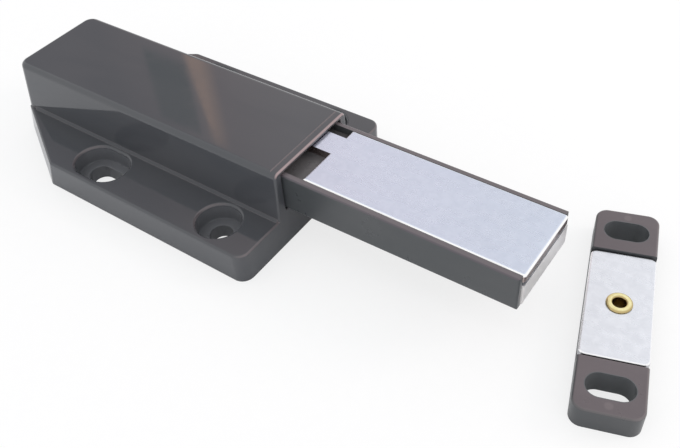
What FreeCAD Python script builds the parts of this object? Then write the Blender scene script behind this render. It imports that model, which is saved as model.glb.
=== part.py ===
"""Magnetic touch latch: a screw-on housing with a sprung magnetic plunger, and its loose strike.

Millimetres. +X is the way the plunger points, +Z is up from the mounting surface, and the origin is the
middle of the housing's underside.
"""
import FreeCAD, Part
import os
import Sketcher

SIZES = {
    # Housing
    "housing_length": 65.9,
    "housing_width": 41.2,
    "housing_height": 15.8,
    "hump_top_width": 19.4,
    "hump_spread": 0.7,
    "hump_wall": 0.8,
    "rear_lean": 1.9,
    "hump_edge_radius": 1.0,
    "hump_front_radius": 0.4,
    "hump_rear_radius": 2.2,
    "wing_thickness": 6.0,
    "wing_slant": 17.7,
    "wing_corner_radius": 2.2,
    "wing_knuckle_radius": 1.2,
    "wing_edge_radius": 0.4,
    "wing_root_leg": 0.4,
    "wing_skin": 1.5,
    "wing_wall": 1.4,
    "roof_thickness": 0.75,
    "end_wall": 2.0,
    "mouth_edge_radius": 0.2,
    # Screw holes of the housing
    "screw_spacing": 30.6,
    "front_hole_setback": 9.3,
    "rear_slot_setback": 37.8,
    "screw_hole_diameter": 4.0,
    "screw_slot_stretch": 3.2,
    "recess_diameter": 7.5,
    "recess_floor": 2.7,
    "boss_wall": 1.2,
    # Cover under the housing, with the cam track
    "cover_thickness": 1.6,
    "cover_ledge": 1.0,
    "cover_gap": 0.1,
    "rail_width": 1.2,
    "track_gap": 0.4,
    "lane_gap": 0.5,
    "return_lane_offset": 5.5,
    "heart_length": 9.6,
    "heart_notch": 1.6,
    "pocket_room": 1.6,
    # Plunger
    "plunger_height": 7.3,
    "plunger_reach": 42.1,
    "plunger_travel": 36.0,
    "plunger_edge_radius": 0.35,
    "plunger_rise": 0.7,
    "ear_width": 0.6,
    "ear_length": 14.0,
    "running_gap": 0.2,
    "stop_gap": 0.15,
    "tray_wall": 0.95,
    "tray_floor": 1.1,
    # Magnet and pole plates
    "plate_length": 39.1,
    "plate_thickness": 1.5,
    "plate_nose": 0.4,
    "plate_corner_radius": 0.5,
    "plate_edge_radius": 0.45,
    "plate_lift": 0.15,
    "tab_width": 4.5,
    "tab_length": 5.0,
    "tab_offset": 2.55,
    "deck_room": 1.0,
    "lower_plate_thickness": 1.2,
    "magnet_length": 24.0,
    "magnet_side_gap": 0.4,
    "pole_gap": 0.6,
    # Return spring
    "spring_diameter": 5.0,
    "spring_wire": 0.55,
    "spring_turns": 15.0,
    "spring_bore": 5.6,
    "spring_bore_depth": 9.0,
    # Cam follower
    "follower_wire": 1.2,
    "follower_arm": 12.0,
    "follower_setback": 2.6,
    "follower_bend": 0.9,
    "pivot_depth": 2.8,
    "pivot_gap": 0.05,
    # Strike
    "keeper_reach": 53.2,
    "keeper_y": 4.3,
    "keeper_yaw": 17.9,
    "keeper_length": 39.9,
    "keeper_width": 10.0,
    "keeper_height": 4.2,
    "keeper_corner_radius": 1.9,
    "keeper_edge_radius": 0.4,
    "keeper_slot_spacing": 30.7,
    "keeper_slot_length": 7.0,
    "keeper_slot_width": 4.1,
    "strike_length": 21.3,
    "strike_thickness": 1.4,
    "strike_tilt": 1.5,
    "strike_corner_radius": 1.0,
    "strike_edge_radius": 0.3,
    "strike_end_gap": 0.2,
    "seat_height": 2.65,
    "seat_fall": 0.32,
    "seat_gap": 0.05,
    "eyelet_flange": 4.0,
    "eyelet_shank": 2.8,
    "eyelet_hole": 2.0,
    "eyelet_rim": 0.35,
    "eyelet_curl": 0.3,
    "eyelet_lift": 0.12,
    "eyelet_play": 0.25,
    "eyelet_sink": 0.2,
}

document = FreeCAD.newDocument("touch_latch")
sheet = document.addObject("Spreadsheet::Sheet", "dims")
for row, (alias, value) in enumerate(SIZES.items(), start=1):
    sheet.set(f"A{row}", alias)
    sheet.set(f"B{row}", str(value))
    sheet.setAlias(f"B{row}", alias)
document.recompute()


class Size:
    """A length that keeps its number and its formula on the sheet together."""

    def __init__(self, number, formula):
        self.number = number
        self.formula = formula

    def joined(self, other, sign, number):
        """The size that a sum, difference, product or quotient gives."""
        return Size(number, f"({self.formula} {sign} {size(other).formula})")

    def __add__(self, other):
        return self.joined(other, "+", self.number + size(other).number)

    def __sub__(self, other):
        return self.joined(other, "-", self.number - size(other).number)

    def __mul__(self, other):
        return self.joined(other, "*", self.number * size(other).number)

    def __truediv__(self, other):
        return self.joined(other, "/", self.number / size(other).number)

    def __neg__(self):
        return Size(-self.number, f"(0 - {self.formula})")


def size(value):
    """A plain number as a Size, and a Size as it is."""
    return value if isinstance(value, Size) else Size(float(value), repr(float(value)))


def dim(alias):
    """The size that the sheet holds under this name."""
    return Size(float(sheet.get(alias)), f"dims.{alias}")


ZERO = size(0)
TOUCH = 0.02
ALONG_X = FreeCAD.Rotation(FreeCAD.Vector(0, 1, 0), 90)

# Places that several pieces share
front_x = dim("housing_length") / 2
rear_x = -front_x
rear_top_x = rear_x + dim("rear_lean")
hump_top_half = dim("hump_top_width") / 2
hump_foot_half = hump_top_half + dim("hump_spread")
hump_draft = dim("hump_spread") / (dim("housing_height") - dim("wing_thickness"))
hump_base_half = hump_foot_half + hump_draft * dim("wing_thickness")
wing_half = dim("housing_width") / 2
slant_x = rear_x + dim("wing_slant")
slant_top_x = slant_x + dim("rear_lean")
screw_y = dim("screw_spacing") / 2
front_hole_x = front_x - dim("front_hole_setback")
rear_slot_x = front_x - dim("rear_slot_setback")

channel_half = hump_top_half - dim("hump_wall")
ear_half = channel_half - dim("running_gap")
plunger_half = ear_half - dim("ear_width")
plate_top_z = dim("housing_height") - dim("roof_thickness") - dim("running_gap")
plunger_top_z = plate_top_z - dim("plate_lift")
plunger_base_z = plunger_top_z - dim("plunger_height")
plunger_mid_z = plunger_base_z + dim("plunger_height") / 2
nose_x = front_x + dim("plunger_reach")
stop_x = front_x - dim("end_wall") - dim("stop_gap")
tail_x = stop_x - dim("ear_length")

channel_front_x = front_x - dim("end_wall")
channel_rear_x = rear_top_x + dim("end_wall")
channel_top_z = dim("housing_height") - dim("roof_thickness")
sill_z = plunger_base_z - dim("running_gap")

pivot_x = stop_x - dim("follower_setback")
arm_z = plunger_base_z - dim("track_gap") - dim("follower_wire") / 2
track_top_z = arm_z - dim("follower_wire") / 2 - dim("track_gap")
tip_out_x = pivot_x - dim("follower_arm")
tip_in_x = tip_out_x - dim("plunger_travel")
lane_half = dim("follower_wire") / 2 + dim("lane_gap")

plate_front_x = nose_x + dim("plate_nose")
plate_rear_x = plate_front_x - dim("plate_length")
plate_half = plunger_half - dim("tray_wall")
plate_base_z = plate_top_z - dim("plate_thickness")
tray_floor_z = plunger_base_z + dim("tray_floor")
magnet_base_z = tray_floor_z + dim("lower_plate_thickness")
magnet_front_x = plate_front_x - dim("lower_plate_thickness")
magnet_rear_x = magnet_front_x - dim("magnet_length")

keeper_x = front_x + dim("keeper_reach")
strike_half = dim("strike_length") / 2
seat_half = strike_half + dim("strike_end_gap")
keeper_half = dim("keeper_length") / 2
keeper_slot_y = dim("keeper_slot_spacing") / 2


def bind(thing, **sizes):
    """Tie properties of an object to their formulas."""
    for name, value in sizes.items():
        thing.setExpression(name, size(value).formula)


def place(thing, x=ZERO, y=ZERO, z=ZERO):
    """Tie the place of an object to formulas."""
    for axis, value in (("x", x), ("y", y), ("z", z)):
        thing.setExpression(f".Placement.Base.{axis}", size(value).formula)


def new_body(label):
    """An empty body, named after its piece."""
    body = document.addObject("PartDesign::Body", label)
    body.Label = label
    return body


def new_sketch(body, name, plane):
    """A sketch on one of the body's own origin planes: XY_Plane, XZ_Plane or YZ_Plane."""
    sketch = body.newObject("Sketcher::SketchObject", name)
    support = [item for item in body.Origin.OriginFeatures if item.Role == plane]
    sketch.AttachmentSupport = (support[0], [""])
    sketch.MapMode = "FlatFace"
    return sketch


def draw_outline(sketch, corners):
    """Draw a closed outline of straight edges, with each corner tied to its two formulas."""
    first = sketch.GeometryCount
    count = len(corners)
    points = [FreeCAD.Vector(size(x).number, size(y).number, 0) for x, y in corners]
    for index in range(count):
        sketch.addGeometry(Part.LineSegment(points[index], points[(index + 1) % count]))
    for index in range(count):
        following = first + (index + 1) % count
        sketch.addConstraint(Sketcher.Constraint("Coincident", first + index, 2, following, 1))
    for index, corner in enumerate(corners):
        for kind, value in zip(("DistanceX", "DistanceY"), corner):
            rule = Sketcher.Constraint(kind, -1, 1, first + index, 1, size(value).number)
            number = sketch.addConstraint(rule)
            sketch.setExpression(f"Constraints[{number}]", size(value).formula)


def pad(body, name, plane, corners, length, offset=ZERO, both_ways=False):
    """A prism on an outline, starting at an offset from its plane."""
    sketch = new_sketch(body, f"{name}_outline", plane)
    draw_outline(sketch, corners)
    sketch.setExpression(".AttachmentOffset.Base.z", size(offset).formula)
    feature = body.newObject("PartDesign::Pad", name)
    feature.Profile = sketch
    feature.Midplane = both_ways
    bind(feature, Length=length)
    document.recompute()
    return feature


def pocket(body, name, plane, outlines, depth, offset=ZERO, both_ways=False):
    """A cut that runs along the plane's normal from an offset, checked to take material away."""
    before = body.Shape.Volume
    sketch = new_sketch(body, f"{name}_outline", plane)
    for corners in outlines:
        draw_outline(sketch, corners)
    sketch.setExpression(".AttachmentOffset.Base.z", size(offset).formula)
    feature = body.newObject("PartDesign::Pocket", name)
    feature.Profile = sketch
    feature.Reversed = True
    feature.Midplane = both_ways
    bind(feature, Length=depth)
    document.recompute()
    if body.Shape.Volume >= before:
        raise RuntimeError(f"{name} cuts nothing")
    return feature


def block(body, name, kind, x_span, y_span, z_span):
    """An additive or subtractive box between two places on each axis."""
    feature = body.newObject(f"PartDesign::{kind}Box", name)
    bind(feature, Length=x_span[1] - x_span[0], Width=y_span[1] - y_span[0], Height=z_span[1] - z_span[0])
    place(feature, x_span[0], y_span[0], z_span[0])
    document.recompute()
    return feature


def cylinder(body, name, kind, centre, radius, z_span):
    """An additive or subtractive upright cylinder."""
    feature = body.newObject(f"PartDesign::{kind}Cylinder", name)
    bind(feature, Radius=radius, Height=z_span[1] - z_span[0])
    place(feature, centre[0], centre[1], z_span[0])
    document.recompute()
    return feature


def slot(body, name, kind, centre, radius, stretch, z_span):
    """An upright slot along X, additive or subtractive: two cylinders and the box between their axes."""
    x, y = centre
    half = stretch / 2
    for end, end_x in (("rear", x - half), ("front", x + half)):
        cylinder(body, f"{name}_{end}", kind, (end_x, y), radius, z_span)
    block(body, f"{name}_middle", kind, (x - half, x + half), (y - radius, y + radius), z_span)


def anywhere(point):
    """The test that every point passes."""
    return True


def round_edges(body, name, radius, test, middle_test=anywhere):
    """Round the body's edges whose ends and middle all pass a test, and whose middle passes a second one."""
    chosen = []
    for number, edge in enumerate(body.Shape.Edges, start=1):
        middle = edge.valueAt((edge.FirstParameter + edge.LastParameter) / 2)
        points = [middle] + [vertex.Point for vertex in edge.Vertexes]
        if all(test(point) for point in points) and middle_test(middle):
            chosen.append(f"Edge{number}")
    if not chosen:
        raise RuntimeError(f"{name} finds no edge")
    base = body.Tip
    feature = body.newObject("PartDesign::Fillet", name)
    feature.Base = (base, chosen)
    bind(feature, Radius=radius)
    document.recompute()
    return feature


def at(value, target):
    """True where a coordinate lies at a place."""
    return abs(value - size(target).number) < TOUCH


def beyond(value, target):
    """True where a coordinate lies past a place."""
    return value > size(target).number + TOUCH


def across(half):
    """A span that is even about the middle."""
    return (-half, half)


def mirrored(corners):
    """The same corners on the other side of the XZ plane."""
    return [(x, -y) for x, y in corners]


def make_hump():
    """The raised middle of the housing, with drafted sides, a leaning rear face and rounded edges."""
    body = new_body("hump")
    top_z = dim("housing_height")
    section = [(hump_base_half, ZERO), (hump_top_half, top_z)]
    section = section + [(-y, z) for y, z in reversed(section)]
    pad(body, "drafted_bar", "YZ_Plane", section, front_x - rear_x, offset=rear_x)
    behind = [(rear_x, ZERO), (rear_top_x, top_z), (rear_x, top_z)]
    pocket(body, "rear_face", "XZ_Plane", [behind], hump_base_half * 2, both_ways=True)
    top_half = hump_top_half.number
    round_edges(body, "rear_corners", dim("hump_rear_radius"),
                lambda p: not beyond(p.x, rear_top_x) and not beyond(top_half, abs(p.y)))
    round_edges(body, "rims", dim("hump_edge_radius"),
                lambda p: at(p.z, top_z), lambda p: not at(p.x, front_x))
    round_edges(body, "front_outline", dim("hump_front_radius"),
                lambda p: at(p.x, front_x), lambda p: beyond(p.z, ZERO))
    return body


def make_housing_shell():
    """The outer moulding: wings, hump, channel, screw holes and the cored underside of the wings."""
    hump = make_hump()
    body = new_body("housing_shell")
    wing_top = dim("wing_thickness")
    front_side = [(slant_top_x, wing_half), (front_x, wing_half)]
    pad(body, "wing_fronts", "XY_Plane", front_side + mirrored(front_side)[::-1], wing_top)
    rear_side = [(rear_x, hump_foot_half), (slant_x, wing_half), (slant_top_x, wing_half)]
    leaning = pad(body, "wing_rears", "XY_Plane", rear_side + mirrored(rear_side)[::-1], wing_top)
    leaning.UseCustomVector = True
    leaning.Direction = FreeCAD.Vector(dim("rear_lean").number, 0, wing_top.number)
    leaning.setExpression("Direction.x", dim("rear_lean").formula)
    leaning.setExpression("Direction.z", wing_top.formula)
    document.recompute()
    round_edges(body, "wing_corners", dim("wing_corner_radius"),
                lambda p: at(p.x, front_x) and at(abs(p.y), wing_half))
    round_edges(body, "wing_knuckles", dim("wing_knuckle_radius"),
                lambda p: not beyond(p.x, slant_top_x) and at(abs(p.y), wing_half))
    round_edges(body, "wing_rims", dim("wing_edge_radius"), lambda p: at(p.z, wing_top))
    joined = body.newObject("PartDesign::Boolean", "wings_and_hump")
    joined.Type = "Fuse"
    joined.setObjects([hump])
    document.recompute()
    leg = dim("wing_root_leg")
    root = [
        (hump_foot_half - leg, wing_top - leg),
        (hump_foot_half + leg * 2, wing_top - leg),
        (hump_foot_half - leg, wing_top + leg * 2),
    ]
    root_x = (rear_top_x + dim("hump_rear_radius"), front_x - dim("hump_front_radius"))
    for name, outline in (("far_root", root), ("near_root", [(-y, z) for y, z in root])):
        pad(body, name, "YZ_Plane", outline, root_x[1] - root_x[0], offset=root_x[0])

    # The channel for the plunger, its front opening and the rebate for the cover
    channel_x = (channel_rear_x, channel_front_x)
    block(body, "channel", "Subtractive", channel_x, across(channel_half), (ZERO, channel_top_z))
    mouth_half = plunger_half + dim("running_gap")
    mouth_z = (sill_z, channel_top_z)
    block(body, "opening", "Subtractive", (channel_front_x, front_x), across(mouth_half), mouth_z)

    def round_mouth(point):
        inside = not beyond(abs(point.y), mouth_half) and not beyond(point.z, channel_top_z)
        return inside and at(point.x, front_x)

    round_edges(body, "mouth_edges", dim("mouth_edge_radius"), round_mouth, lambda p: beyond(p.z, sill_z))
    ledge = dim("cover_ledge")
    block(body, "rebate", "Subtractive", (channel_rear_x - ledge, channel_front_x + ledge),
          across(channel_half + ledge), (ZERO, dim("cover_thickness")))

    # The wings are cored from below, with the slanted wall kept parallel to the outside
    wall = dim("wing_wall")
    slope = (slant_top_x - rear_top_x) / (wing_half - hump_foot_half)
    core_rear_x = rear_top_x + wall * 2 + slope * (hump_base_half - hump_foot_half)
    core_slant_x = slant_top_x + wall * 2 - slope * wall
    core = [
        (core_rear_x, hump_base_half),
        (core_slant_x, wing_half - wall),
        (front_x - wall, wing_half - wall),
        (front_x - wall, hump_base_half),
    ]
    pocket(body, "wing_cores", "XY_Plane", [core, mirrored(core)], wing_top - dim("wing_skin"))

    # Each wing has a slot at the rear and a round hole at the front, sunk for the screw heads
    boss_z = (ZERO, wing_top - dim("wing_skin") / 2)
    recess_z = (dim("recess_floor"), wing_top)
    hole_z = (ZERO, wing_top)
    recess_radius = dim("recess_diameter") / 2
    hole_radius = dim("screw_hole_diameter") / 2
    stretch = dim("screw_slot_stretch")
    boss_radius = recess_radius + dim("boss_wall")
    for side_name, y in (("near", -screw_y), ("far", screw_y)):
        for kind, name, radius, z_span in (
            ("Additive", "boss", boss_radius, boss_z),
            ("Subtractive", "recess", recess_radius, recess_z),
            ("Subtractive", "hole", hole_radius, hole_z),
        ):
            cylinder(body, f"{side_name}_front_{name}", kind, (front_hole_x, y), radius, z_span)
            slot(body, f"{side_name}_rear_{name}", kind, (rear_slot_x, y), radius, stretch, z_span)
    return body


def make_base_plate():
    """The cover under the housing: guide rails for the plunger and the heart-shaped cam track."""
    body = new_body("base_plate")
    gap = dim("cover_gap")
    rim = dim("cover_ledge") - gap
    floor_z = dim("cover_thickness")
    inner_x = (channel_rear_x + gap, channel_front_x - gap)
    inner_half = channel_half - gap
    block(body, "floor", "Additive", (channel_rear_x - rim, channel_front_x + rim),
          across(channel_half + rim), (ZERO, floor_z))
    land_front_x = tip_out_x - dim("follower_wire") / 2 - dim("pocket_room")
    block(body, "land", "Additive", (inner_x[0], land_front_x), across(inner_half), (floor_z, track_top_z))
    rail_inner = inner_half - dim("rail_width")
    block(body, "near_rail", "Additive", inner_x, (-inner_half, -rail_inner), (floor_z, sill_z))
    block(body, "far_rail", "Additive", inner_x, (rail_inner, inner_half), (floor_z, sill_z))

    # The lane in, the pocket at the end of the stroke, and the lane out round the heart
    return_y = dim("return_lane_offset")
    heart_rear_x = tip_in_x + lane_half + dim("pocket_room")
    heart_front_x = heart_rear_x + dim("heart_length")
    merge_x = heart_front_x + lane_half * 3
    outer_y = return_y + lane_half
    inner_y = return_y - lane_half
    groove = [
        (land_front_x, -lane_half),
        (tip_in_x - lane_half, -lane_half),
        (tip_in_x - lane_half, outer_y),
        (merge_x - (outer_y - lane_half), outer_y),
        (merge_x, lane_half),
        (land_front_x, lane_half),
    ]
    heart = [
        (heart_rear_x, lane_half),
        (heart_front_x, lane_half),
        (heart_front_x - (inner_y - lane_half), inner_y),
        (heart_rear_x, inner_y),
        (heart_rear_x + dim("heart_notch"), (inner_y + lane_half) / 2),
    ]
    pocket(body, "track", "XY_Plane", [groove, heart], track_top_z - floor_z, offset=floor_z)
    return body


def make_plunger_carrier():
    """The sliding tray: ears that stop behind the front wall, plate seats, spring bore and pivot hole."""
    body = new_body("plunger_carrier")
    full_z = (plunger_base_z, plunger_top_z)
    block(body, "tray", "Additive", (tail_x, nose_x), across(plunger_half), full_z)
    nose_base_z = plunger_base_z + dim("plunger_rise")
    below = [(stop_x, plunger_base_z), (nose_x, plunger_base_z), (nose_x, nose_base_z)]
    pocket(body, "rising_underside", "XZ_Plane", [below], plunger_half * 2, both_ways=True)
    round_edges(body, "tray_edges", dim("plunger_edge_radius"), lambda p: at(abs(p.y), plunger_half))
    block(body, "ears", "Additive", (tail_x, stop_x), across(ear_half), full_z)
    seat_z = (plate_base_z, plunger_top_z)
    deck_rear_x = plate_rear_x - dim("tab_length") - dim("deck_room")
    block(body, "plate_seat", "Subtractive", (deck_rear_x, nose_x), across(plate_half), seat_z)
    block(body, "magnet_seat", "Subtractive", (magnet_rear_x, nose_x), across(plate_half),
          (tray_floor_z, plate_base_z))
    bore = body.newObject("PartDesign::SubtractiveCylinder", "spring_bore")
    bore.Placement = FreeCAD.Placement(FreeCAD.Vector(), ALONG_X)
    bind(bore, Radius=dim("spring_bore") / 2, Height=dim("spring_bore_depth"))
    place(bore, tail_x, ZERO, plunger_mid_z)
    cylinder(body, "pivot_hole", "Subtractive", (pivot_x, ZERO), dim("follower_wire") / 2 + dim("pivot_gap"),
             (plunger_base_z, plunger_base_z + dim("pivot_depth") + dim("track_gap")))
    return body


def make_upper_pole_plate():
    """The flat steel plate on top of the plunger, with its off-centre tab."""
    body = new_body("upper_pole_plate")
    tab_half = dim("tab_width") / 2
    tab_rear_x = plate_rear_x - dim("tab_length")
    corners = [
        (plate_front_x, -plate_half),
        (plate_front_x, plate_half),
        (plate_rear_x, plate_half),
        (plate_rear_x, dim("tab_offset") + tab_half),
        (tab_rear_x, dim("tab_offset") + tab_half),
        (tab_rear_x, dim("tab_offset") - tab_half),
        (plate_rear_x, dim("tab_offset") - tab_half),
        (plate_rear_x, -plate_half),
    ]
    pad(body, "plate", "XY_Plane", corners, dim("plate_thickness"), offset=plate_base_z)
    round_edges(body, "nose_corners", dim("plate_corner_radius"),
                lambda p: at(p.x, plate_front_x) and at(abs(p.y), plate_half))
    round_edges(body, "top_rim", dim("plate_edge_radius"),
                lambda p: at(p.z, plate_top_z) and beyond(p.x, plate_rear_x - TOUCH * 3))
    return body


def make_lower_pole_plate():
    """The steel plate under the magnet, turned up at the nose to form the second pole."""
    body = new_body("lower_pole_plate")
    lip_z = plate_base_z - dim("pole_gap")
    profile = [
        (magnet_rear_x, tray_floor_z),
        (plate_front_x, tray_floor_z),
        (plate_front_x, lip_z),
        (magnet_front_x, lip_z),
        (magnet_front_x, magnet_base_z),
        (magnet_rear_x, magnet_base_z),
    ]
    pad(body, "bent_plate", "XZ_Plane", profile, plate_half * 2, both_ways=True)
    round_edges(body, "bend", dim("lower_plate_thickness") / 2,
                lambda p: at(p.x, plate_front_x) and at(p.z, tray_floor_z))
    return body


def make_magnet():
    """The block magnet between the two plates."""
    magnet = document.addObject("Part::Box", "magnet")
    half = plate_half - dim("magnet_side_gap")
    bind(magnet, Length=dim("magnet_length"), Width=half * 2, Height=plate_base_z - magnet_base_z)
    place(magnet, magnet_rear_x, -half, magnet_base_z)
    return magnet


def make_return_spring():
    """The coil spring from the housing's rear wall to the bottom of the plunger's bore."""
    wire_radius = dim("spring_wire") / 2
    coil_radius = dim("spring_diameter") / 2 - wire_radius
    start_x = channel_rear_x + wire_radius
    length = tail_x + dim("spring_bore_depth") - wire_radius - start_x
    helix = document.addObject("Part::Helix", "spring_line")
    helix.Placement = FreeCAD.Placement(FreeCAD.Vector(), ALONG_X)
    bind(helix, Radius=coil_radius, Height=length, Pitch=length / dim("spring_turns"))
    place(helix, start_x, ZERO, plunger_mid_z)
    section = document.addObject("Part::Circle", "spring_section")
    across_wire = FreeCAD.Rotation(FreeCAD.Vector(0, 1, 0), FreeCAD.Vector(0, 0, 1))
    section.Placement = FreeCAD.Placement(FreeCAD.Vector(), across_wire)
    bind(section, Radius=wire_radius)
    place(section, start_x, ZERO, plunger_mid_z - coil_radius)
    document.recompute()
    spring = document.addObject("Part::Sweep", "return_spring")
    spring.Sections = [section]
    spring.Spine = (helix, ["Edge1"])
    spring.Solid = True
    spring.Frenet = True
    document.recompute()
    return spring


def make_cam_follower():
    """The bent wire that turns in the plunger, trails to the rear and dips into the cam track."""
    wire_radius = dim("follower_wire").number / 2
    bend = dim("follower_bend").number
    top_z = (plunger_base_z + dim("pivot_depth")).number
    tip_z = (dim("cover_thickness") + dim("track_gap")).number
    level = arm_z.number
    hinge_x = pivot_x.number
    tip_x = tip_out_x.number

    def point(x, z):
        return FreeCAD.Vector(x, 0, z)

    def quarter(start, middle, end):
        return Part.Arc(point(*start), point(*middle), point(*end)).toShape()

    half_turn = bend * (1 - 0.5 ** 0.5)
    path = Part.Wire([
        Part.LineSegment(point(hinge_x, top_z), point(hinge_x, level + bend)).toShape(),
        quarter((hinge_x, level + bend), (hinge_x - half_turn, level + half_turn), (hinge_x - bend, level)),
        Part.LineSegment(point(hinge_x - bend, level), point(tip_x + bend, level)).toShape(),
        quarter((tip_x + bend, level), (tip_x + half_turn, level - half_turn), (tip_x, level - bend)),
        Part.LineSegment(point(tip_x, level - bend), point(tip_x, tip_z)).toShape(),
    ])
    section = Part.Wire([Part.makeCircle(wire_radius, point(hinge_x, top_z), FreeCAD.Vector(0, 0, -1))])
    follower = document.addObject("Part::Feature", "cam_follower")
    follower.Shape = path.makePipeShell([section], True, False)
    return follower


def place_on_keeper(thing, z=ZERO, roll=ZERO):
    """Set a piece of the strike down at its place beside the plunger, turned and tilted."""
    place(thing, keeper_x, dim("keeper_y"), z)
    thing.setExpression(".Placement.Rotation.Yaw", dim("keeper_yaw").formula)
    thing.setExpression(".Placement.Rotation.Roll", size(roll).formula)


def make_keeper_base():
    """The moulded strip of the strike: end blocks with slots, and a ridged seat for the plate."""
    body = new_body("keeper_base")
    width_half = dim("keeper_width") / 2
    top_z = dim("keeper_height")
    block(body, "strip", "Additive", across(width_half), across(keeper_half), (ZERO, top_z))
    round_edges(body, "strip_corners", dim("keeper_corner_radius"),
                lambda p: at(abs(p.x), width_half) and at(abs(p.y), keeper_half))
    round_edges(body, "strip_rim", dim("keeper_edge_radius"), lambda p: at(p.z, top_z))
    ridge_z = dim("seat_height") - dim("seat_gap")
    seat = [
        (-seat_half, top_z),
        (-seat_half, ridge_z - dim("seat_fall")),
        (ZERO, ridge_z),
        (seat_half, ridge_z - dim("seat_fall")),
        (seat_half, top_z),
    ]
    pocket(body, "seat", "YZ_Plane", [seat], dim("keeper_width"), offset=-width_half)
    slot_radius = dim("keeper_slot_width") / 2
    stretch = dim("keeper_slot_length") - dim("keeper_slot_width")
    for name, y in (("near_slot", -keeper_slot_y), ("far_slot", keeper_slot_y)):
        slot(body, name, "Subtractive", (ZERO, y), slot_radius, stretch, (ZERO, top_z))
    cylinder(body, "shank_hole", "Subtractive", (ZERO, ZERO), dim("eyelet_shank") / 2, (ZERO, top_z))
    cylinder(body, "rim_recess", "Subtractive", (ZERO, ZERO), dim("eyelet_flange") / 2,
             (ZERO, dim("eyelet_sink") + dim("eyelet_rim")))
    place_on_keeper(body)
    return body


def make_keeper_plate():
    """The steel strike plate, which rocks on the ridge under its middle."""
    body = new_body("keeper_plate")
    width_half = dim("keeper_width") / 2
    thickness = dim("strike_thickness")
    block(body, "sheet", "Additive", across(width_half), across(strike_half), (ZERO, thickness))
    round_edges(body, "sheet_corners", dim("strike_corner_radius"),
                lambda p: at(abs(p.x), width_half) and at(abs(p.y), strike_half))
    round_edges(body, "sheet_rim", dim("strike_edge_radius"), lambda p: at(p.z, thickness))
    cylinder(body, "shank_hole", "Subtractive", (ZERO, ZERO), dim("eyelet_shank") / 2 + dim("eyelet_play"),
             (ZERO, thickness))
    place_on_keeper(body, dim("seat_height"), -dim("strike_tilt"))
    return body


def make_keeper_eyelet():
    """The brass eyelet that holds the strike plate to its strip, with a rim at each end."""
    body = new_body("keeper_eyelet")
    hole = dim("eyelet_hole") / 2
    shank = dim("eyelet_shank") / 2
    flange = dim("eyelet_flange") / 2
    low_z = dim("eyelet_sink")
    low_rim_z = low_z + dim("eyelet_rim")
    high_rim_z = dim("seat_height") + dim("strike_thickness") + dim("eyelet_lift")
    high_z = high_rim_z + dim("eyelet_rim")
    profile = [
        (hole, low_z),
        (flange, low_z),
        (flange, low_rim_z),
        (shank, low_rim_z),
        (shank, high_rim_z),
        (flange, high_rim_z),
        (flange, high_z),
        (hole, high_z),
    ]
    sketch = new_sketch(body, "eyelet_profile", "XZ_Plane")
    draw_outline(sketch, profile)
    turned = body.newObject("PartDesign::Revolution", "turned")
    turned.Profile = sketch
    turned.ReferenceAxis = (sketch, ["V_Axis"])
    turned.Angle = 360
    document.recompute()
    round_edges(body, "curled_rim", dim("eyelet_curl"), lambda p: at(p.z, high_z))
    place_on_keeper(body)
    return body


def main():
    pieces = [
        make_housing_shell(),
        make_base_plate(),
        make_plunger_carrier(),
        make_upper_pole_plate(),
        make_lower_pole_plate(),
        make_magnet(),
        make_return_spring(),
        make_cam_follower(),
        make_keeper_base(),
        make_keeper_plate(),
        make_keeper_eyelet(),
    ]
    document.recompute()
    for thing in document.Objects:
        if "Invalid" in thing.State or "Error" in thing.State:
            raise RuntimeError(f"{thing.Name} failed to build")
    for piece in pieces:
        if piece.Shape.isNull() or not piece.Shape.isValid() or len(piece.Shape.Solids) != 1:
            raise RuntimeError(f"{piece.Label} is not one valid solid")
    os.makedirs("parts", exist_ok=True)
    for piece in pieces:
        piece.Shape.exportStep(f"parts/{piece.Label}.step")
        box = piece.Shape.optimalBoundingBox()
        print(f"{piece.Label}: {box.XLength:.2f} x {box.YLength:.2f} x {box.ZLength:.2f} mm")


main()
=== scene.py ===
import bmesh
import bpy
import math
from mathutils import Matrix, Vector


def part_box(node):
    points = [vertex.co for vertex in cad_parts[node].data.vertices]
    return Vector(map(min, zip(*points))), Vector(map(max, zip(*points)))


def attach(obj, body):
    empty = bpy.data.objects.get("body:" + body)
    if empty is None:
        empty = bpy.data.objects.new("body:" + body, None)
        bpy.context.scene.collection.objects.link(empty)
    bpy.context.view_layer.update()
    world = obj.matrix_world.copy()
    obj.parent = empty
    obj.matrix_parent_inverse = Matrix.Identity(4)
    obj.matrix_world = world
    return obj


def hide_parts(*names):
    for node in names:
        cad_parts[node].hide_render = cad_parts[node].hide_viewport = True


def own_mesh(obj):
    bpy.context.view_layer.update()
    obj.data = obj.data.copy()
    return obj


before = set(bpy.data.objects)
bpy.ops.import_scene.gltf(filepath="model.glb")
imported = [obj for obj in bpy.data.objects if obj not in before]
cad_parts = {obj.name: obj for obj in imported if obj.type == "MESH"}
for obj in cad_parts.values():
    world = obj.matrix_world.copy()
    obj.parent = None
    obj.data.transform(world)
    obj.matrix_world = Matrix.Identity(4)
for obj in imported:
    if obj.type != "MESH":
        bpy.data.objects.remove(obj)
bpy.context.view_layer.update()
MM = 0.001

# The housing's screw recesses; the rear ones are stretched along X
HOUSING_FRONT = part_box("housing_shell")[1][0]
FRONT_RECESS_X = HOUSING_FRONT - 9.20 * MM
REAR_RECESS_X = HOUSING_FRONT - 37.70 * MM
RECESS_Y = 15.43 * MM
RECESS_STRETCH = 3.2 * MM
RECESS_WALL = 3.95 * MM
RECESS_FLOOR_Z = 2.69 * MM
RECESS_TOP_Z = 6.0 * MM

# The tops of the plunger's walls
PLUNGER_TOP_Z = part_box("plunger_carrier")[1][2]

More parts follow.
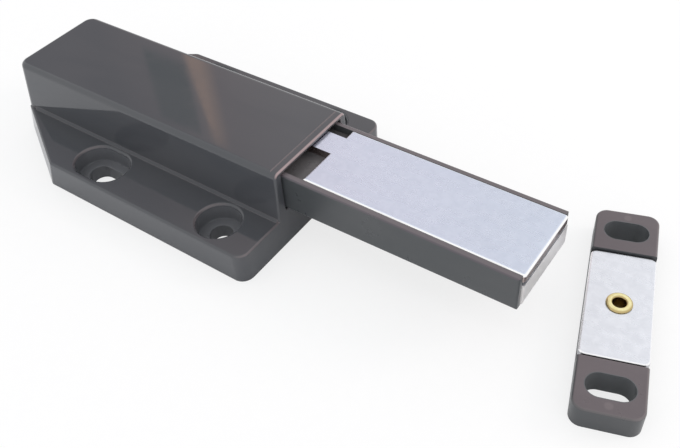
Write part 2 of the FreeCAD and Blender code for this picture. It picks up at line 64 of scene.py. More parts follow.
# The strike's middle, the direction of its slots, where they lie, and the mould marks beyond them
STRIKE_X = 86.15 * MM
STRIKE_Y = 4.30 * MM
SLOT_COS = 0.95159
SLOT_SIN = 0.30736
SLOT_ALONG = 15.35 * MM
SLOT_STRETCH = 2.9 * MM
SLOT_WALL = 2.05 * MM
GATE_ALONG = 18.5 * MM

# Where a rounded edge begins and is full, as the product of two parts of the surface's direction
RIM_BEGINS = 0.08
RIM_FULL = 0.42

# Moulded plastic: flow marks, smears, softened edges and grain
FLOW_MM = 9.0
FLOW_STRETCH = (0.35, 1.0, 1.0)
FLOW_DARK, FLOW_LIGHT = 0.32, 0.70
SMEAR_MM = 3.5
SOFT_EDGE_MM = 0.25
MOULD_GRAIN_DEPTH_MM = 0.02
PLASTIC_IOR = 1.53
FULL_SPECULAR, DULL_SPECULAR = 0.5, 0.25

# Plated sheet: haze and the grain of rolling, both drawn out along X
HAZE_MM = 1.1
HAZE_STRETCH = (0.25, 1.0, 1.0)
ROLLED_GRAIN_MM = 0.35
ROLLED_GRAIN_STRETCH = (0.3, 1.0, 1.0)
ROLLED_GRAIN_DEPTH_MM = 0.01

# How much of the floor is plain white to the camera, and to mirrors and clear bodies
FLOOR_WHITE_SEEN = 0.74
FLOOR_WHITE_MIRRORED = 0.10


def empty_tree(name):
    """A node material with nothing but its output."""
    material = bpy.data.materials.new(name)
    material.use_nodes = True
    tree = material.node_tree
    tree.nodes.clear()
    return material, tree, tree.nodes.new("ShaderNodeOutputMaterial")


def new_tree(name):
    """A node material with a Principled shader on its output."""
    material, tree, output = empty_tree(name)
    shader = tree.nodes.new("ShaderNodeBsdfPrincipled")
    tree.links.new(shader.outputs["BSDF"], output.inputs["Surface"])
    return material, tree, shader


def object_space(tree, stretch=(1.0, 1.0, 1.0)):
    """Object coordinates in metres, stretched along the axes."""
    coords = tree.nodes.new("ShaderNodeTexCoord")
    mapping = tree.nodes.new("ShaderNodeMapping")
    mapping.inputs["Scale"].default_value = stretch
    tree.links.new(coords.outputs["Object"], mapping.inputs["Vector"])
    return mapping.outputs["Vector"]


def noise(tree, vector, size_mm, detail=3.0, distortion=0.0):
    """Noise whose features are about size_mm across."""
    node = tree.nodes.new("ShaderNodeTexNoise")
    node.inputs["Scale"].default_value = 1.0 / (size_mm * MM)
    node.inputs["Detail"].default_value = detail
    node.inputs["Distortion"].default_value = distortion
    tree.links.new(vector, node.inputs["Vector"])
    return node.outputs["Fac"]


def ramp(tree, fac, stops):
    """A colour ramp over (position, colour) stops."""
    node = tree.nodes.new("ShaderNodeValToRGB")
    elements = node.color_ramp.elements
    while len(elements) < len(stops):
        elements.new(0.5)
    for element, (place, colour) in zip(elements, stops):
        element.position = place
        element.color = (*colour, 1.0)
    tree.links.new(fac, node.inputs["Fac"])
    return node.outputs["Color"]


def span(tree, value, low, high, to_low, to_high):
    """A value moved from one span to another, held at its ends."""
    node = tree.nodes.new("ShaderNodeMapRange")
    node.inputs["From Min"].default_value = low
    node.inputs["From Max"].default_value = high
    node.inputs["To Min"].default_value = to_low
    node.inputs["To Max"].default_value = to_high
    tree.links.new(value, node.inputs["Value"])
    return node.outputs["Result"]


def rising(tree, value, low, high):
    """Zero up to the low place, one from the high place on."""
    return span(tree, value, low, high, 0.0, 1.0)


def falling(tree, value, low, high):
    """One up to the low place, zero from the high place on."""
    return span(tree, value, low, high, 1.0, 0.0)


def calculate(tree, operation, first, second=0.0):
    """One step of arithmetic; second may be a plain number."""
    node = tree.nodes.new("ShaderNodeMath")
    node.operation = operation
    tree.links.new(first, node.inputs[0])
    if isinstance(second, float):
        node.inputs[1].default_value = second
    else:
        tree.links.new(second, node.inputs[1])
    return node.outputs["Value"]


def product(tree, first, *others):
    """Values multiplied together."""
    for other in others:
        first = calculate(tree, "MULTIPLY", first, other)
    return first


def weighted(tree, first, first_share, second, second_share):
    """Two values added, each times its share."""
    return calculate(tree, "ADD", product(tree, first, first_share), product(tree, second, second_share))


def length_of(tree, first, second):
    """The length of two distances at a right angle."""
    return calculate(tree, "SQRT", weighted(tree, first, first, second, second))


def distance_to(tree, value, place):
    """How far a value is from a place, on either side."""
    return calculate(tree, "ABSOLUTE", calculate(tree, "SUBTRACT", value, place))


def beyond(tree, value, limit):
    """How far a value is past a limit, zero before it."""
    return calculate(tree, "MAXIMUM", calculate(tree, "SUBTRACT", value, limit), 0.0)


def between(tree, value, low, high, soft):
    """One between two places, falling softly to zero outside them."""
    rise = rising(tree, value, low - soft, low + soft)
    fall = falling(tree, value, high - soft, high + soft)
    return product(tree, rise, fall)


def components(tree, vector):
    """The X, Y and Z of a vector."""
    axes = tree.nodes.new("ShaderNodeSeparateXYZ")
    tree.links.new(vector, axes.inputs["Vector"])
    return axes.outputs


def position(tree):
    """The components of a point's place in the object, in metres."""
    return components(tree, object_space(tree))


def facing(tree):
    """The components of the surface's own direction."""
    coords = tree.nodes.new("ShaderNodeTexCoord")
    return components(tree, coords.outputs["Normal"])


def worn_and_highlit_edges(tree, radius_mm, strength):
    """A rounded shading normal, and a mask that is bright along sharp edges, which are painted paler, partly
    as wear and partly as a painted highlight.
    """
    bevel = tree.nodes.new("ShaderNodeBevel")
    bevel.samples = 6
    bevel.inputs["Radius"].default_value = radius_mm * MM
    geometry = tree.nodes.new("ShaderNodeNewGeometry")
    dot = tree.nodes.new("ShaderNodeVectorMath")
    dot.operation = "DOT_PRODUCT"
    tree.links.new(bevel.outputs["Normal"], dot.inputs[0])
    tree.links.new(geometry.outputs["Normal"], dot.inputs[1])
    on_flats, on_edges = 0.995, 0.80
    mask = span(tree, dot.outputs["Value"], on_flats, on_edges, 0.0, strength)
    return bevel.outputs["Normal"], mask


def front_rim_highlight(tree):
    """One along rounded edges round the front, above and below, zero on the flats; a painted highlight goes
    there.
    """
    axes = facing(tree)
    forward = calculate(tree, "MAXIMUM", axes["X"], 0.0)
    upright = calculate(tree, "ABSOLUTE", axes["Z"])
    return rising(tree, product(tree, forward, upright), RIM_BEGINS, RIM_FULL)


def long_rims(tree):
    """One along rounded edges between the top and the sides, zero on the flats; a painted highlight goes
    there, and in the wing roots, painted shade.
    """
    axes = facing(tree)
    sideways = calculate(tree, "ABSOLUTE", axes["Y"])
    upward = calculate(tree, "MAXIMUM", axes["Z"], 0.0)
    return rising(tree, product(tree, sideways, upward), RIM_BEGINS, RIM_FULL)


def roof_rim_highlight(tree):
    """The part of the front rims that runs along the roof of the hump, where the painted highlight is
    strongest.
    """
    axes = position(tree)
    lip_x = HOUSING_FRONT - 0.8 * MM
    high_up = rising(tree, axes["Z"], 12.0 * MM, 14.0 * MM)
    foremost = rising(tree, axes["X"], lip_x - 0.1 * MM, lip_x)
    return product(tree, front_rim_highlight(tree), high_up, foremost)


def wing_roots(tree):
    """One in the narrow slopes where the hump rises from the wings, which shine less as painted shade in the
    crease.
    """
    axes = position(tree)
    low = falling(tree, axes["Z"], 6.5 * MM, 6.7 * MM)
    near_root = falling(tree, calculate(tree, "ABSOLUTE", axes["Y"]), 11.0 * MM, 11.2 * MM)
    return product(tree, long_rims(tree), low, near_root)


def recess_insides(tree):
    """One on the walls and floors of the screw recesses, which are left matt and painted paler as painted
    light.
    """
    axes = position(tree)
    away = calculate(tree, "SUBTRACT", calculate(tree, "ABSOLUTE", axes["Y"]), RECESS_Y)
    from_front = distance_to(tree, axes["X"], FRONT_RECESS_X)
    from_rear = beyond(tree, distance_to(tree, axes["X"], REAR_RECESS_X), RECESS_STRETCH / 2)
    along = calculate(tree, "MINIMUM", from_front, from_rear)
    radius = length_of(tree, along, away)
    within = falling(tree, radius, RECESS_WALL + 0.15 * MM, RECESS_WALL + 0.45 * MM)
    sunk = falling(tree, axes["Z"], 5.3 * MM, 5.8 * MM)
    return product(tree, within, sunk)


def strike_axes(tree):
    """Distances from the strike's middle, across and along its strip."""
    axes = position(tree)
    from_x = calculate(tree, "SUBTRACT", axes["X"], STRIKE_X)
    from_y = calculate(tree, "SUBTRACT", axes["Y"], STRIKE_Y)
    across = weighted(tree, from_x, SLOT_COS, from_y, SLOT_SIN)
    along = weighted(tree, from_y, SLOT_COS, from_x, -SLOT_SIN)
    return calculate(tree, "ABSOLUTE", across), calculate(tree, "ABSOLUTE", along)


def slot_insides(tree):
    """One on the walls of the strike's slots, which are left matt and painted paler as painted light."""
    across, along = strike_axes(tree)
    from_slot = calculate(tree, "SUBTRACT", along, SLOT_ALONG)
    radius = length_of(tree, beyond(tree, across, SLOT_STRETCH / 2), from_slot)
    return falling(tree, radius, SLOT_WALL + 0.05 * MM, SLOT_WALL + 0.15 * MM)


def gate_marks(tree):
    """One in the small round mould marks on the strike's ends."""
    across, along = strike_axes(tree)
    radius = length_of(tree, across, calculate(tree, "SUBTRACT", along, GATE_ALONG))
    return falling(tree, radius, 0.45 * MM, 0.75 * MM)


def wall_top_sheen(tree):
    """One on the level tops of the plunger's walls, where a painted sheen goes."""
    high_up = rising(tree, position(tree)["Z"], PLUNGER_TOP_Z - 0.12 * MM, PLUNGER_TOP_Z - 0.04 * MM)
    level = rising(tree, facing(tree)["Z"], 0.80, 0.95)
    return product(tree, high_up, level)


def rolled_rims(tree):
    """One where a sheet's face rounds over into its cut edge, zero on its faces; the rim colour set there is
    painted light.
    """
    level = calculate(tree, "ABSOLUTE", facing(tree)["Z"])
    return falling(tree, level, 0.85, 0.985)


def torn_and_shaded_edges(tree):
    """One on the upright part of a sheet's cut edge, which is coloured partly as the dull tear of the shear
    and partly as painted shade.
    """
    level = calculate(tree, "ABSOLUTE", facing(tree)["Z"])
    return falling(tree, level, 0.10, 0.30)


def mix_colour(tree, fac, first, second):
    """Two colours mixed by a factor; second may be a plain colour."""
    node = tree.nodes.new("ShaderNodeMix")
    node.data_type = "RGBA"
    tree.links.new(fac, node.inputs["Factor"])
    tree.links.new(first, node.inputs["A"])
    if isinstance(second, tuple):
        node.inputs["B"].default_value = (*second, 1.0)
    else:
        tree.links.new(second, node.inputs["B"])
    return node.outputs["Result"]


def bump(tree, height, strength, distance_mm, normal=None):
    """A bump over a normal, or over the surface's own."""
    node = tree.nodes.new("ShaderNodeBump")
    node.inputs["Strength"].default_value = strength
    node.inputs["Distance"].default_value = distance_mm * MM
    tree.links.new(height, node.inputs["Height"])
    if normal is not None:
        tree.links.new(normal, node.inputs["Normal"])
    return node.outputs["Normal"]


def moulded(name, dark, light, edge, rough, grain_mm, grain_strength, highlights_and_marks=(), top=None,
            wear_and_highlight_share=0.6, dull=None, matt=None):
    """Injection-moulded plastic: faint flow marks, a fine grain, and paler edges, partly wear and partly a
    painted highlight.

    The level upper faces may take the two paler colours in top, which are painted light from above, and the
    places in dull shine less, which is painted shade.
    The places of the mask in matt get a paler colour, which is painted light against the shade in those
    hollows, and a roughness of their own.
    """
    material, tree, shader = new_tree(name)
    flow = noise(tree, object_space(tree, FLOW_STRETCH), FLOW_MM, detail=4.0, distortion=0.6)
    colour = ramp(tree, flow, [(FLOW_DARK, dark), (FLOW_LIGHT, light)])
    # Painted light: the level upper faces are paler, as if lit from above
    if top is not None:
        level = rising(tree, facing(tree)["Z"], 0.80, 0.97)
        upper = ramp(tree, flow, [(FLOW_DARK, top[0]), (FLOW_LIGHT, top[1])])
        colour = mix_colour(tree, level, colour, upper)
    normal = None
    # Sharp edges painted paler: partly wear, partly a painted highlight
    if wear_and_highlight_share > 0.0:
        normal, wear_and_highlight_mask = worn_and_highlit_edges(tree, SOFT_EDGE_MM, wear_and_highlight_share)
        colour = mix_colour(tree, wear_and_highlight_mask, colour, edge)
    # Painted highlights on rims and tops that face the light; on the keeper this list also holds the mould
    # marks
    for mask, strength in highlights_and_marks:
        colour = mix_colour(tree, product(tree, mask(tree), strength), colour, edge)
    smear = noise(tree, object_space(tree), SMEAR_MM, detail=5.0, distortion=0.3)
    roughness = span(tree, smear, 0.3, 0.75, rough[0], rough[1])
    # Painted light: the hollows are paler than the plastic around them, and matt
    if matt is not None:
        mask, painted_lighter_colour, matt_roughness = matt
        places = mask(tree)
        colour = mix_colour(tree, places, colour, painted_lighter_colour)
        roughness = calculate(tree, "MAXIMUM", roughness, product(tree, places, matt_roughness))
    tree.links.new(colour, shader.inputs["Base Color"])
    tree.links.new(roughness, shader.inputs["Roughness"])
    grain = noise(tree, object_space(tree), grain_mm)
    grained = bump(tree, grain, grain_strength, MOULD_GRAIN_DEPTH_MM, normal)
    tree.links.new(grained, shader.inputs["Normal"])
    shader.inputs["IOR"].default_value = PLASTIC_IOR
    # Painted shade: the places in dull shine less
    if dull is not None:
        shine = span(tree, dull(tree), 0.0, 1.0, FULL_SPECULAR, DULL_SPECULAR)
        tree.links.new(shine, shader.inputs["Specular IOR Level"])
    return material


def plated(name, dull, bright, rim, torn_and_shade, rough, spangle_mm, grain_strength):
    """Plated metal: cool mottling, a fine rolled grain, a painted highlight on rims (painted shade on the
    eyelet), and cut edges partly dull from the shear, partly painted shade.
    """
    material, tree, shader = new_tree(name)
    cloud = noise(tree, object_space(tree), spangle_mm, detail=5.0, distortion=0.5)
    body = ramp(tree, cloud, [(0.30, dull), (0.68, bright)])
    # Painted light on the rims: a painted highlight on the plates, painted shade on the eyelet
    edged = mix_colour(tree, rolled_rims(tree), body, rim)
    # The upright cut edges: partly the dull tear of the shear, partly painted shade
    tree.links.new(mix_colour(tree, torn_and_shaded_edges(tree), edged, torn_and_shade), shader.inputs["Base Color"])
    haze = noise(tree, object_space(tree, HAZE_STRETCH), HAZE_MM, detail=4.0)
    tree.links.new(span(tree, haze, 0.3, 0.7, rough[0], rough[1]), shader.inputs["Roughness"])
    grain = noise(tree, object_space(tree, ROLLED_GRAIN_STRETCH), ROLLED_GRAIN_MM)
    tree.links.new(bump(tree, grain, grain_strength, ROLLED_GRAIN_DEPTH_MM), shader.inputs["Normal"])
    shader.inputs["Metallic"].default_value = 1.0
    return material


housing_plastic = moulded(
    "housing_plastic",
    dark=(0.064, 0.068, 0.076),
    light=(0.075, 0.077, 0.084),
    edge=(0.40, 0.30, 0.30),
    rough=(0.03, 0.08),
    grain_mm=0.45,
    grain_strength=0.012,
    # Painted highlights along the roof's lip and the front rims
    highlights_and_marks=[(roof_rim_highlight, 0.8), (front_rim_highlight, 0.2)],
    wear_and_highlight_share=0.25,
    # Painted shade: less shine in the creases at the wing roots
    dull=wing_roots,
    # Painted light: paler, matt recess insides
    matt=(recess_insides, (0.145, 0.149, 0.160), 0.40),
)
cover_plastic = moulded(
    "cover_plastic",
    dark=(0.056, 0.057, 0.062),
    light=(0.066, 0.066, 0.070),
    edge=(0.14, 0.12, 0.12),
    rough=(0.25, 0.36),
    grain_mm=0.40,
    grain_strength=0.20,
)
plunger_plastic = moulded(
    "plunger_plastic",
    dark=(0.054, 0.060, 0.064),
    light=(0.066, 0.070, 0.074),
    edge=(0.24, 0.165, 0.205),
    rough=(0.26, 0.36),
    grain_mm=0.40,
    grain_strength=0.12,
    # Painted highlights on the rims, and a painted sheen on the wall tops
    highlights_and_marks=[(front_rim_highlight, 0.4), (long_rims, 0.22), (wall_top_sheen, 0.17)],
    # Painted light: paler level tops
    top=((0.105, 0.100, 0.102), (0.120, 0.115, 0.117)),
    wear_and_highlight_share=0.0,
)
keeper_plastic = moulded(
    "keeper_plastic",
    dark=(0.050, 0.054, 0.058),
    light=(0.060, 0.063, 0.067),
    edge=(0.26, 0.22, 0.22),
    rough=(0.26, 0.38),
    grain_mm=0.35,
    grain_strength=0.30,
    # Painted highlights on the rims, and the mould marks
    highlights_and_marks=[(front_rim_highlight, 0.4), (long_rims, 0.25), (gate_marks, 0.22)],
    # Painted light: paler level tops
    top=((0.110, 0.091, 0.099), (0.132, 0.110, 0.118)),
    wear_and_highlight_share=0.0,
    # Painted light: paler, matt slot walls
    matt=(slot_insides, (0.105, 0.112, 0.118), 0.40),
)
magnet_ferrite = moulded(
    "magnet_ferrite",
    dark=(0.055, 0.055, 0.060),
    light=(0.085, 0.085, 0.09),
    edge=(0.14, 0.14, 0.15),
    rough=(0.42, 0.60),
    grain_mm=0.25,
    grain_strength=0.5,
)
pole_steel = plated(
    "pole_steel",
    dull=(0.65, 0.71, 0.84),
    bright=(0.70, 0.76, 0.89),
    # A painted white highlight on the rims
    rim=(1.0, 1.0, 1.0),
    # Partly the dull tear of the shear, partly painted shade of the gap under the plate
    torn_and_shade=(0.38, 0.32, 0.31),
    rough=(0.24, 0.32),
    spangle_mm=1.2,
    grain_strength=0.07,
)
# Painted light: the lower plate is paler than the upper plate, for the bright reflection on its front lip
painted_bright_lip_steel = plated(
    "painted_bright_lip_steel",
    dull=(0.90, 0.88, 0.87),
    bright=(0.94, 0.92, 0.91),
    rim=(0.97, 0.96, 0.95),
    torn_and_shade=(0.94, 0.92, 0.91),
    rough=(0.42, 0.52),
    spangle_mm=1.2,
    grain_strength=0.02,
)
strike_steel = plated(
    "strike_steel",
    dull=(0.75, 0.77, 0.83),
    bright=(0.83, 0.85, 0.91),
    rim=(0.96, 0.96, 0.97),
    torn_and_shade=(0.55, 0.55, 0.57),
    rough=(0.24, 0.34),
    spangle_mm=1.4,
    grain_strength=0.10,
)
spring_wire = plated(
    "spring_wire",
    dull=(0.55, 0.55, 0.57),
    bright=(0.68, 0.68, 0.70),
    rim=(0.66, 0.66, 0.68),
    torn_and_shade=(0.64, 0.64, 0.66),
    rough=(0.22, 0.34),
    spangle_mm=0.8,
    grain_strength=0.15,
)
eyelet_brass = plated(
    "eyelet_brass",
    dull=(0.84, 0.74, 0.36),
    bright=(0.93, 0.86, 0.50),
    rim=(0.54, 0.42, 0.20),
    torn_and_shade=(0.38, 0.28, 0.12),
    rough=(0.16, 0.26),
    spangle_mm=0.9,
    grain_strength=0.08,
)

# The CAD nodes that keep their own meshes; pieces made below replace the other three
FINISHES = {
    "base_plate": cover_plastic,
    "plunger_carrier": plunger_plastic,
    "upper_pole_plate": pole_steel,
    "lower_pole_plate": painted_bright_lip_steel,
    "magnet": magnet_ferrite,
    "cam_follower": spring_wire,
    "keeper_base": keeper_plastic,
    "keeper_plate": strike_steel,
}
for node_name, finish in FINISHES.items():
    for material_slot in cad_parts[node_name].material_slots:
        material_slot.material = finish


def placed(name, data):
    """A new object in the scene."""
    thing = bpy.data.objects.new(name, data)
    bpy.context.scene.collection.objects.link(thing)
    return thing


def smooth_piece(name, vertices, faces, material):
    """A new object with one smooth-shaded mesh and one material."""
    mesh = bpy.data.meshes.new(name)
    mesh.from_pydata(vertices, [], faces)
    mesh.update()
    for polygon in mesh.polygons:
        polygon.use_smooth = True
    mesh.materials.append(material)
    return placed(name, mesh)


def panel(name, corners, material):
    """A new object with one flat face of four corners."""
    mesh = bpy.data.meshes.new(name)
    mesh.from_pydata(corners, [], [(0, 1, 2, 3)])
    mesh.materials.append(material)
    return placed(name, mesh)


def join_rings(faces, first, second, count):
    """Add the faces between two closed rings, each given by the number of its first point."""
    for place in range(count):
        following = (place + 1) % count
        faces.append((first + place, first + following, second + following, second + place))


def arc(centre, radii, first, last, steps):
    """Points (radius, height) along part of an ellipse, both ends among them."""
    points = []
    for step in range(steps + 1):
        angle = first + (last - first) * step / steps
        points.append((centre[0] + radii[0] * math.cos(angle), centre[1] + radii[1] * math.sin(angle)))
    return points


def coil_spring():
    """The return spring as a swept coil."""
    low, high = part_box("return_spring")
    wire = 0.55 * MM / 2
    coil = (high[1] - low[1]) / 2 - wire
    middle_z = (low[2] + high[2]) / 2
    start, length = low[0] + wire, high[0] - low[0] - 2 * wire
    turns, steps, sides = 15, 30, 10
    vertices, faces = [], []
    rings = turns * steps + 1
    for ring in range(rings):
        share = ring / (rings - 1)
        angle = 2 * math.pi * turns * share
        outward = Vector((0, math.sin(angle), -math.cos(angle)))
        centre = Vector((start + length * share, 0, middle_z)) + outward * coil
        for side in range(sides):
            turn = 2 * math.pi * side / sides
            lengthways = Vector((wire * math.sin(turn), 0, 0))
            vertices.append(centre + outward * (wire * math.cos(turn)) + lengthways)
    for ring in range(rings - 1):
        join_rings(faces, ring * sides, (ring + 1) * sides, sides)
    faces.append(tuple(reversed(range(sides))))
    faces.append(tuple((rings - 1) * sides + side for side in range(sides)))
    spring = smooth_piece("return_coil", vertices, faces, spring_wire)
    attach(spring, "housing")
    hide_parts("return_spring")
    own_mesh(spring)


def rolled_eyelet():
    """The brass eyelet turned as one tube, its upper rim rolled over in a crown."""
    low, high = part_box("keeper_eyelet")
    middle = (low + high) / 2
    hole, shank, rim = 1.0 * MM, 1.4 * MM, 0.35 * MM
    flange = (high[0] - low[0]) / 2
    crown = 1.35 * MM
    crown_centre = (crown, high[2] - rim)
    crown_steps = 8
    profile = [(hole, low[2])]
    profile += arc(crown_centre, (hole - crown, rim), 0.0, math.pi / 2, crown_steps)
    profile += arc(crown_centre, (flange - crown, rim), math.pi / 2, 0.0, crown_steps)[1:]
    profile += [(shank, high[2] - rim), (shank, low[2] + rim), (flange, low[2] + rim), (flange, low[2])]
    turns, around = 64, len(profile)
    vertices, faces = [], []
    for turn in range(turns):
        angle = 2 * math.pi * turn / turns
        for radius, height in profile:
            x = middle[0] + radius * math.cos(angle)
            y = middle[1] + radius * math.sin(angle)
            vertices.append((x, y, height))
    for turn in range(turns):
        beside = (turn + 1) % turns
        join_rings(faces, turn * around, beside * around, around)
    eyelet = smooth_piece("rolled_eyelet", vertices, faces, eyelet_brass)
    eyelet.data.set_sharp_from_angle(angle=math.radians(50))
    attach(eyelet, "housing")
    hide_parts("keeper_eyelet")


def recess_cutter(vertices, faces, centre, stretch):
    """Add a closed solid that opens a screw recess wider, with a rounded rim and a rounded lip at the hole.

    A recess with a stretch is a slot along X.
    """
    lip, corner, rim = 0.40 * MM, 0.35 * MM, 0.55 * MM
    hole, wall = 1.94 * MM, RECESS_WALL
    lip_centre = (hole + lip, RECESS_FLOOR_Z - lip)
    corner_centre = (wall - corner, RECESS_FLOOR_Z + corner)
    rim_centre = (wall + rim, RECESS_TOP_Z - rim)
    rim_turn = math.radians(75)
    profile = [(hole, RECESS_FLOOR_Z - 2 * lip)]
    profile += arc(lip_centre, (-lip, lip), 0.0, math.pi / 2, 6)
    profile += arc(corner_centre, (corner, corner), -math.pi / 2, 0.0, 5)
    profile += arc(rim_centre, (-rim, rim), 0.0, rim_turn, 8)
    # The rim's last slope goes straight on until it is clear of the wing's top
    overshoot = 0.17 * MM
    radius, height = profile[-1]
    profile.append((radius + overshoot * math.sin(rim_turn), height + overshoot * math.cos(rim_turn)))
    around, start = 96, len(vertices)
    for radius, height in profile:
        for step in range(around):
            angle = 2 * math.pi * (step + 0.5) / around
            shift = math.copysign(stretch / 2, math.cos(angle))
            x = centre[0] + shift + radius * math.cos(angle)
            y = centre[1] + radius * math.sin(angle)
            vertices.append((x, y, height))
    for ring in range(len(profile) - 1):
        join_rings(faces, start + ring * around, start + (ring + 1) * around, around)
    faces.append(tuple(reversed(range(start, start + around))))
    faces.append(tuple(range(len(vertices) - around, len(vertices))))


def groove_cutter(vertices, faces, middle_x, half_y, top_z):
    """Add a closed solid that cuts a fine line across the roof behind its front lip."""
    half_width, depth, above = 0.15 * MM, 0.10 * MM, 0.1 * MM
    half_top = half_width / depth * (depth + above)
    start = len(vertices)
    for y in (-half_y, half_y):
        vertices.append((middle_x, y, top_z - depth))
        vertices.append((middle_x + half_top, y, top_z + above))
        vertices.append((middle_x - half_top, y, top_z + above))
    faces.append((start, start + 1, start + 2))
    faces.append((start + 5, start + 4, start + 3))
    for first, second in ((0, 1), (1, 2), (2, 0)):
        faces.append((start + second, start + first, start + first + 3, start + second + 3))


def shell_cutters():
    """One object with the solids to be cut from the housing: four recesses and the roof's fine line."""
    vertices, faces = [], []
    for side in (-1, 1):
        recess_cutter(vertices, faces, (FRONT_RECESS_X, side * RECESS_Y), 0.0)
        recess_cutter(vertices, faces, (REAR_RECESS_X, side * RECESS_Y), RECESS_STRETCH)
    line_x, half_line = HOUSING_FRONT - 1.4 * MM, 9.6 * MM
    roof_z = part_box("housing_shell")[1][2]
    groove_cutter(vertices, faces, line_x, half_line, roof_z)
    mesh = bpy.data.meshes.new("recess_cutters")
    mesh.from_pydata(vertices, [], faces)
    return placed("recess_cutters", mesh)


def joined_copy(source):
    """A new object with a copy of a mesh, its points joined and its stored normals left off."""
    whole = bmesh.new()
    whole.from_mesh(source)
    bmesh.ops.remove_doubles(whole, verts=whole.verts, dist=0.0001 * MM)
    mesh = bpy.data.meshes.new("finished_shell_blank")
    whole.to_mesh(mesh)
    whole.free()
    for name in ("custom_normal", "sharp_edge", "sharp_face"):
        if name in mesh.attributes:
            mesh.attributes.remove(mesh.attributes[name])
    return placed("finished_shell_blank", mesh)


def evaluated_mesh(thing):
    """A new mesh of an object with its modifiers carried out."""
    graph = bpy.context.evaluated_depsgraph_get()
    return bpy.data.meshes.new_from_object(thing.evaluated_get(graph))


def dissolve_slivers(mesh):
    """Take out the slivers that a cut leaves, and the lines across flat faces."""
    joined = bmesh.new()
    joined.from_mesh(mesh)
    bmesh.ops.dissolve_degenerate(joined, dist=0.0005 * MM, edges=joined.edges)
    bmesh.ops.dissolve_limit(joined, angle_limit=math.radians(0.1), verts=joined.verts, edges=joined.edges)
    joined.to_mesh(mesh)
    joined.free()


def finished_shell():
    """A copy of the CAD housing with rounded screw recesses and the fine line behind the roof's front lip."""
    blank = joined_copy(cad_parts["housing_shell"].data)
    cutter = shell_cutters()
    cut = blank.modifiers.new("cut", "BOOLEAN")
    cut.operation = "DIFFERENCE"
    cut.solver = "EXACT"
    cut.object = cutter
    carved = evaluated_mesh(blank)
    blank.modifiers.clear()
    blank.data = carved
    dissolve_slivers(carved)
    for polygon in carved.polygons:
        polygon.use_smooth = True
        polygon.material_index = 0
    carved.set_sharp_from_angle(angle=math.radians(32))
    by_area = blank.modifiers.new("by_area", "WEIGHTED_NORMAL")
    by_area.weight = 100
    by_area.keep_sharp = True
    finished = evaluated_mesh(blank)
    bpy.data.objects.remove(blank)
    bpy.data.objects.remove(cutter)
    finished.name = "finished_shell"
    finished.materials.clear()
    finished.materials.append(housing_plastic)
    shell = placed("finished_shell", finished)
    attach(shell, "housing")
    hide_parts("housing_shell")


def seen_plainly(tree):
    """One for rays from the camera, and for those that a mirror or a clear body passes on, else zero."""
    paths = tree.nodes.new("ShaderNodeLightPath")
    total = paths.outputs["Is Camera Ray"]
    for name in ("Is Glossy Ray", "Is Transmission Ray"):
        total = calculate(tree, "MAXIMUM", total, paths.outputs[name])
    return total


def paper_floor():
    """A white table with the faintest tooth, on which the shadow is soft and pale."""
    half, just_below, tooth_mm = 1.6, 0.02 * MM, 2.0
    material, tree, shader = new_tree("white_table")
    tooth = noise(tree, object_space(tree), tooth_mm)
    white = ramp(tree, tooth, [(0.3, (0.955, 0.955, 0.955)), (0.7, (0.975, 0.975, 0.975))])
    tree.links.new(white, shader.inputs["Base Color"])
    shader.inputs["Roughness"].default_value = 0.9
    shader.inputs["Specular IOR Level"].default_value = 0.1
    glow = tree.nodes.new("ShaderNodeEmission")
    glow.inputs["Strength"].default_value = 1.0
    paths = tree.nodes.new("ShaderNodeLightPath")
    mirrored = product(tree, seen_plainly(tree), FLOOR_WHITE_MIRRORED)
    seen = product(tree, paths.outputs["Is Camera Ray"], FLOOR_WHITE_SEEN)
    blend = tree.nodes.new("ShaderNodeMixShader")
    tree.links.new(calculate(tree, "MAXIMUM", mirrored, seen), blend.inputs["Fac"])
    tree.links.new(shader.outputs["BSDF"], blend.inputs[1])
    tree.links.new(glow.outputs["Emission"], blend.inputs[2])
    tree.links.new(blend.outputs["Shader"], tree.nodes["Material Output"].inputs["Surface"])
    corners = [(-half, -half, 0), (half, -half, 0), (half, half, 0), (-half, half, 0)]
    table = panel("table", corners, material)
    table.location.z = -just_below


def studio_screen():
    """A dim screen behind the object, seen only in its gloss.

    It is paler to the right, with a dark flag and a leaning warm strip.
    """
    y, left, right, low, high = 0.6, -1.7, -0.1, 0.25, 1.3
    strip_lean = 0.16
    material, tree, output = empty_tree("dim_screen")
    glow = tree.nodes.new("ShaderNodeEmission")
    tree.links.new(glow.outputs["Emission"], output.inputs["Surface"])
    axes = position(tree)
    across = rising(tree, axes["X"], left, right)
    shade = ramp(tree, across, [
        (0.0, (0.52, 0.49, 0.51)),
        (0.50, (0.40, 0.37, 0.39)),
        (0.656, (0.77, 0.64, 0.65)),
        (0.75, (0.94, 0.86, 0.87)),
        (0.90, (0.91, 0.87, 0.87)),
        (1.0, (0.82, 0.81, 0.79)),
    ])
    flag_width = between(tree, axes["X"], low=-0.800, high=-0.712, soft=0.003)
    flag_height = between(tree, axes["Z"], low=0.612, high=0.745, soft=0.006)
    shade = mix_colour(tree, product(tree, flag_width, flag_height), shade, (0.31, 0.34, 0.33))
    leaning = calculate(tree, "SUBTRACT", axes["X"], product(tree, axes["Z"], strip_lean))
    strip_left = rising(tree, leaning, -0.809, -0.801)
    strip_right = falling(tree, axes["X"], -0.682, -0.650)
    strip_height = between(tree, axes["Z"], low=0.575, high=0.750, soft=0.010)
    strip = product(tree, strip_left, strip_right, strip_height)
    shade = mix_colour(tree, strip, shade, (1.65, 1.12, 0.88))
    tree.links.new(shade, glow.inputs["Color"])
    corners = [(left, y, low), (right, y, low), (right, y, high), (left, y, high)]
    screen = panel("screen", corners, material)
    screen.visible_camera = False
    screen.visible_diffuse = False
    screen.visible_shadow = False


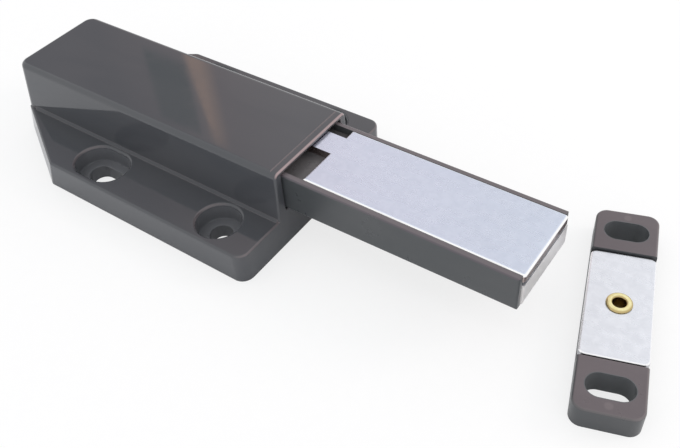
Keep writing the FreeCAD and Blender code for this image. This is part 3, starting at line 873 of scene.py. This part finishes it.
def key_lamp():
    """One soft square lamp, without a mirror image that would bleach the bare metal."""
    place, target = Vector((0.66, 0.50, 0.43)), Vector((0.03, 0.0, 0.005))
    data = bpy.data.lights.new("key", "AREA")
    data.shape = "RECTANGLE"
    data.size = 0.30
    data.size_y = 0.30
    data.energy = 1.9
    data.color = (1.0, 0.86, 0.82)
    lamp = placed("key", data)
    lamp.location = place
    lamp.rotation_euler = (target - place).to_track_quat("-Z", "Y").to_euler()
    lamp.visible_glossy = False


def studio_world():
    """White to the camera and in mirrors, and an even, slightly cool light on everything else."""
    world = bpy.data.worlds.new("studio")
    bpy.context.scene.world = world
    world.use_nodes = True
    tree = world.node_tree
    tree.nodes.clear()
    output = tree.nodes.new("ShaderNodeOutputWorld")
    seen = tree.nodes.new("ShaderNodeBackground")
    seen.inputs["Color"].default_value = (1.0, 1.0, 1.0, 1.0)
    seen.inputs["Strength"].default_value = 1.0
    lit = tree.nodes.new("ShaderNodeBackground")
    lit.inputs["Color"].default_value = (0.97, 0.98, 1.0, 1.0)
    lit.inputs["Strength"].default_value = 0.98
    mixer = tree.nodes.new("ShaderNodeMixShader")
    tree.links.new(seen_plainly(tree), mixer.inputs["Fac"])
    tree.links.new(lit.outputs["Background"], mixer.inputs[1])
    tree.links.new(seen.outputs["Background"], mixer.inputs[2])
    tree.links.new(mixer.outputs["Shader"], output.inputs["Surface"])


def photo_camera():
    """The camera, placed and turned as fitted to the photograph's edges and corners."""
    place = Vector((103.555, -81.389, 103.874)) * MM
    right = Vector((0.81476, 0.57594, -0.06678)).normalized()
    back = Vector((0.44599, -0.54896, 0.70692)).normalized()
    up = back.cross(right).normalized()
    right = up.cross(back)
    turn = Matrix((right, up, back)).transposed()
    data = bpy.data.cameras.new("camera")
    data.sensor_fit = "HORIZONTAL"
    data.sensor_width = 36.0
    data.lens = 44.295
    data.clip_start = 0.005
    camera = placed("camera", data)
    camera.matrix_world = Matrix.Translation(place) @ turn.to_4x4()
    bpy.context.scene.camera = camera


coil_spring()
rolled_eyelet()
finished_shell()
paper_floor()
studio_screen()
key_lamp()
studio_world()
photo_camera()
bpy.context.scene.view_settings.view_transform = "Standard"
